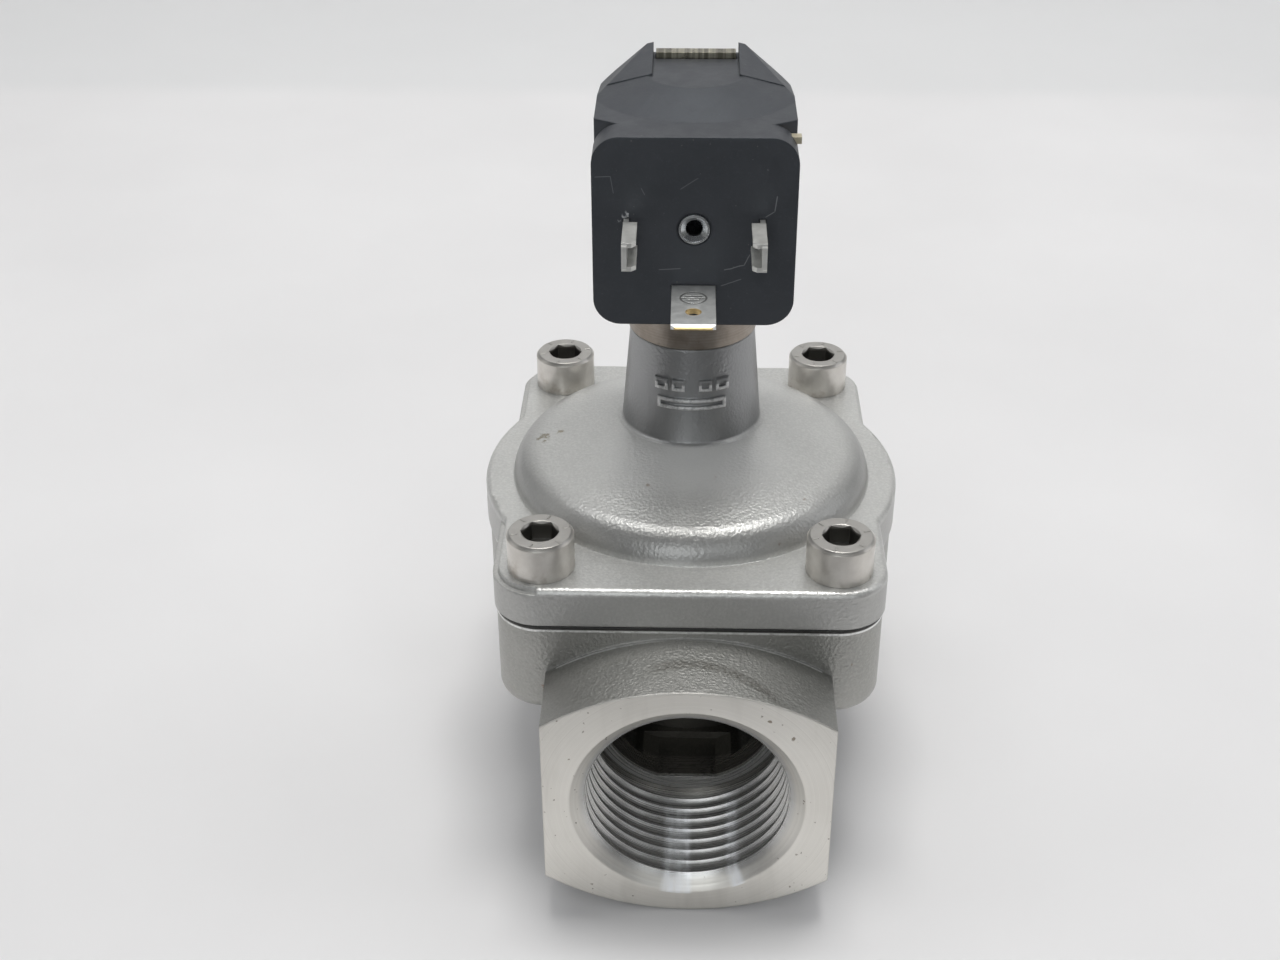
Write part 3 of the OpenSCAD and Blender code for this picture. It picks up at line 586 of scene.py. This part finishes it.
def dark_card():
    """Matt card, nearly black in front and paler close to the valve."""
    m = Mat("card")
    close = m.rng(m.place()[1], -170, -100, 0.0, 1.0, True)
    c = m.mix(close, (0.045, 0.045, 0.047), (0.34, 0.34, 0.35))
    m.set_color(m.shader.inputs["Base Color"], c)
    m.shader.inputs["Roughness"].default_value = 0.9
    return m.material


def floor():
    """A plain pale paper sweep, and a dark card in front that only reflections see."""
    bend_y, bend_r, steps = 0.62, 0.25, 12
    profile = [(-1.6, 0.0), (bend_y, 0.0)]
    for i in range(1, steps + 1):
        a = math.radians(90 * i / steps)
        profile.append((bend_y + bend_r * math.sin(a), bend_r * (1 - math.cos(a))))
    profile.append((bend_y + bend_r, 1.6))
    ground = sheet("floor", [[(x, y, z) for x in (-1.8, 1.8)] for y, z in profile], paper())
    card = sheet("card", [[(x, y, 0.0006) for x in (-0.7, 0.7)] for y in (-0.75, -0.1)], dark_card())
    card.visible_camera = False
    card.visible_diffuse = False
    card.visible_shadow = False


def area(name, place, target, size, power, color, glossy=True):
    """A rectangular light that shines from its place to its target."""
    light = bpy.data.lights.new(name, "AREA")
    light.shape = "RECTANGLE"
    light.size, light.size_y = size
    light.energy = power
    light.color = color
    ob = bpy.data.objects.new(name, light)
    scene.collection.objects.link(ob)
    ob.location = place
    ob.visible_glossy = glossy
    ob.rotation_euler = (Vector(target) - Vector(place)).to_track_quat("-Z", "Y").to_euler()


def lights():
    """A small light above, a wide soft one in front, one on the wall, and four at the sides and in front."""
    warm, neutral, cool = (1.0, 0.99, 0.965), (1.0, 1.0, 1.0), (0.95, 0.98, 1.0)
    area("top", (0.03, 0.10, 0.95), (0.02, 0.0, 0.0), (0.34, 0.24), 4.7, warm)
    area("fill", (0.0, -0.70, 0.90), (0.0, 0.0, 0.05), (1.3, 1.0), 3.3, (1.0, 1.0, 0.99), False)
    area("wall", (0.0, 0.25, 1.0), (0, 0.85, 0.25), (1.4, 0.4), 6.0, neutral)
    area("left", (-0.9, 0.05, 0.45), (0, 0, 0.05), (0.5, 0.6), 0.5, (1.0, 0.98, 0.95))
    area("right", (0.95, 0.10, 0.5), (0, 0, 0.05), (0.5, 0.6), 1.0, (0.97, 0.98, 1.0))
    area("strip_a", (-0.10, -0.62, 0.28), (0, -0.04, 0.01), (0.22, 0.50), 0.90, cool)
    area("strip_b", (0.27, -0.58, 0.28), (0, -0.04, 0.01), (0.10, 0.50), 0.26, cool)


def room():
    """A dim room round the sweep, darker in front of the valve than behind it."""
    world = bpy.data.worlds.new("world")
    scene.world = world
    world.use_nodes = True
    tree = world.node_tree
    background = tree.nodes["Background"]
    coord = tree.nodes.new("ShaderNodeTexCoord")
    split = tree.nodes.new("ShaderNodeSeparateXYZ")
    tree.links.new(coord.outputs["Generated"], split.inputs[0])
    ramp = tree.nodes.new("ShaderNodeMapRange")
    tree.links.new(split.outputs[1], ramp.inputs["Value"])
    for k, v in zip((1, 2, 3, 4), (-0.35, 0.55, 0.07, 0.42)):
        ramp.inputs[k].default_value = v
    tree.links.new(ramp.outputs[0], background.inputs[1])
    background.inputs[0].default_value = (0.93, 0.95, 1.0, 1)
    scene.view_settings.view_transform = "Standard"
    scene.view_settings.exposure = -0.36


# ---------- materials on the CAD nodes ----------
def dress(nodes, material, bevel=0.0, segments=2):
    """Gives CAD nodes a material, and rounds their sharp edges by a bevel in millimetres."""
    for node in nodes.split():
        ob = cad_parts[node]
        ob.data.materials.clear()
        ob.data.materials.append(material)
        for face in ob.data.polygons:
            face.material_index = 0
        if bevel:
            rounding = ob.modifiers.new("edge", "BEVEL")
            rounding.width = bevel * MM
            rounding.segments = segments
            rounding.limit_method = "ANGLE"
            rounding.angle_limit = math.radians(30)
            rounding.harden_normals = False
            rounding.use_clamp_overlap = True


make_camera()
floor()
lights()
room()

steel = ((0.50, 0.48, 0.45), (0.66, 0.64, 0.61))
coil_black = mat_plastic("coil_black", (0.0235, 0.0245, 0.0290), (0.0315, 0.0325, 0.0380),
                         rough=(0.40, 0.50), edge=0.5, specular=0.8, marks=face_marks)
bobbin = mat_plastic("bobbin", (0.55, 0.50, 0.38), (0.68, 0.63, 0.50), rough=(0.45, 0.6), edge=0.2)
collar = mat_steel("collar", (0.25, 0.215, 0.18), (0.40, 0.355, 0.31), rough=(0.3, 0.42),
                   axis_y=NECK_Y, z_lines=4.2, bump=0.3)
spring = mat_plain_metal("spring", (0.45, 0.45, 0.46), (0.62, 0.62, 0.62))
brass = mat_plain_metal("nozzle_brass", (0.62, 0.42, 0.16), (0.78, 0.56, 0.25))
copper = mat_plain_metal("shading_copper", (0.60, 0.25, 0.12), (0.78, 0.38, 0.20))
zinc = mat_plain_metal("yoke_zinc", (0.36, 0.335, 0.26), (0.60, 0.57, 0.46),
                       rough=(0.25, 0.4), ribs=1300.0)
clip = mat_plain_metal("clip_steel", (0.56, 0.51, 0.38), (0.68, 0.62, 0.47),
                       rough=(0.4, 0.5), metallic=0.6)
tin = mat_plain_metal("tinned", (0.66, 0.66, 0.63), (0.80, 0.80, 0.77),
                      rough=(0.34, 0.48), metallic=0.65)

dress("valve_body", mat_cast(), 0.25)
dress("valve_cover", mat_cover(), 0.25)
dress("cover_screws", mat_screw(), 0.15)
dress("tube_gland", collar)
dress("coil_housing", coil_black, 0.35, 3)
dress("magnet_yoke pole_plate", zinc, 0.1)
dress("retaining_clip", clip, 0.1)
dress("terminal_left terminal_right", tin, 0.1)
dress("earth_terminal", mat_earth_blade(), 0.1)
dress("connector_insert", mat_insert())
dress("support_plate clamp_washer disc_bolt disc_nut", mat_steel("turned", *steel))
dress("guide_tube fixed_core plunger", mat_steel("turned_neck", *steel, axis_y=NECK_Y))
dress("diaphragm seat_disc tube_o_ring plunger_seal coil_seal", mat_rubber())
dress("closing_spring plunger_spring", spring)
dress("pilot_nozzle", brass)
dress("shading_ring", copper)
dress("coil_winding", mat_winding())
dress("coil_bobbin", bobbin)
